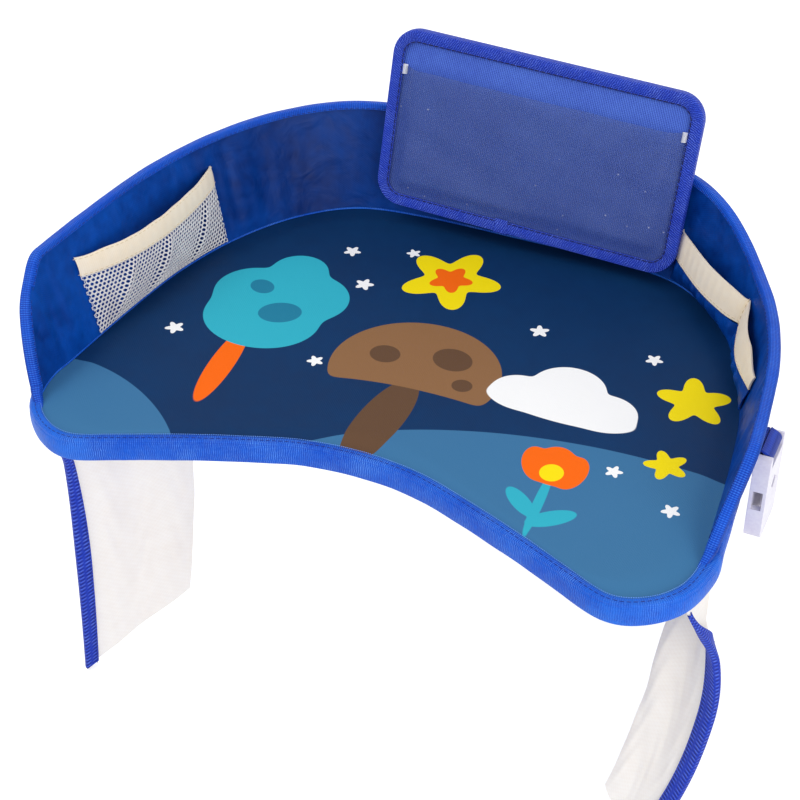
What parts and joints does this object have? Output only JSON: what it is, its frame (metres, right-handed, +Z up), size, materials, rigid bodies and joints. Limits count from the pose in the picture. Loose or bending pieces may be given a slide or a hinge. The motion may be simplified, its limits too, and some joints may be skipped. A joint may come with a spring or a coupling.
{
  "type": "car seat tray table",
  "caption": "Padded lap tray for a child's car seat, with soft leaning walls, a net pocket, a pleated pouch, a pull-off clear-fronted device holder and hanging side flaps.",
  "frame": {"origin": "on the flat underside of the tray, midway between its sides, 100 mm behind the line through the two front toes", "axes": "+Z up, +Y from the child towards the back wall and the holder, +X to the child's right"},
  "size_m": [0.4224, 0.3052, 0.3852],
  "materials": {
    "printed_cloth": "printed woven polyester, satin",
    "blue_cloth": "nylon taffeta, soft sheen",
    "blue_tape": "ribbed binding tape",
    "white_cloth": "thin white cloth, matt",
    "beige_elastic": "ribbed elastic, matt",
    "grey_net": "knitted polyester net",
    "clear_film": "clear soft vinyl film",
    "white_plastic": "moulded acetal, satin",
    "foam": "closed cell foam",
    "board": "plain sheet plastic",
    "hook_loop": "hook and loop tape"
  },
  "bodies": {
    "tray": {"bottom_panel": "blue_cloth", "base_board": "board", "foam_pad": "foam", "printed_panel": "printed_cloth", "rim_binding": "blue_tape", "wall_inner_cloth": "blue_cloth", "wall_stiffener": "board", "wall_outer_cloth": "blue_cloth", "wall_top_binding": "blue_tape", "mesh_pocket_net": "grey_net", "mesh_pocket_hem": "beige_elastic", "pouch_cloth": "blue_cloth", "pouch_hem": "beige_elastic", "wall_loop_strip": "hook_loop", "left_webbing_tab": "blue_tape", "right_webbing_tab": "blue_tape"},
    "left_flap": {"left_flap_cloth": "white_cloth", "left_flap_binding": "blue_tape"},
    "right_flap": {"right_flap_cloth": "white_cloth", "right_flap_binding": "blue_tape"},
    "device_holder": {"holder_back_cloth": "blue_cloth", "holder_stiffener": "board", "holder_face_cloth": "blue_cloth", "holder_window": "clear_film", "holder_binding": "blue_tape", "holder_hook_strip": "hook_loop"},
    "socket_half": {"buckle_socket": "white_plastic"},
    "plug_half": {"buckle_plug": "white_plastic"}
  },
  "joints": [
    {"name": "left_flap_hinge", "type": "hinge", "parent": "tray", "child": "left_flap", "pos_m": [-0.1905, -0.026, -0.0019], "axis": [0, 1, 0], "range_deg": [-42, 48]},
    {"name": "right_flap_hinge", "type": "hinge", "parent": "tray", "child": "right_flap", "pos_m": [0.1905, -0.026, -0.0019], "axis": [0, -1, 0], "range_deg": [-42, 48]},
    {"name": "holder_pull_off", "type": "slide", "parent": "tray", "child": "device_holder", "axis": [0, -0.9703, 0.2419], "range_m": [0, 0.05]},
    {"name": "socket_half_hinge", "type": "hinge", "parent": "tray", "child": "socket_half", "pos_m": [0.20488, 0.00179, 0.04536], "axis": [0, -1, 0], "range_deg": [0, 80]},
    {"name": "plug_half_hinge", "type": "hinge", "parent": "tray", "child": "plug_half", "pos_m": [-0.20608, 0.00179, 0.05286], "axis": [0, 1, 0], "range_deg": [0, 80]}
  ]
}
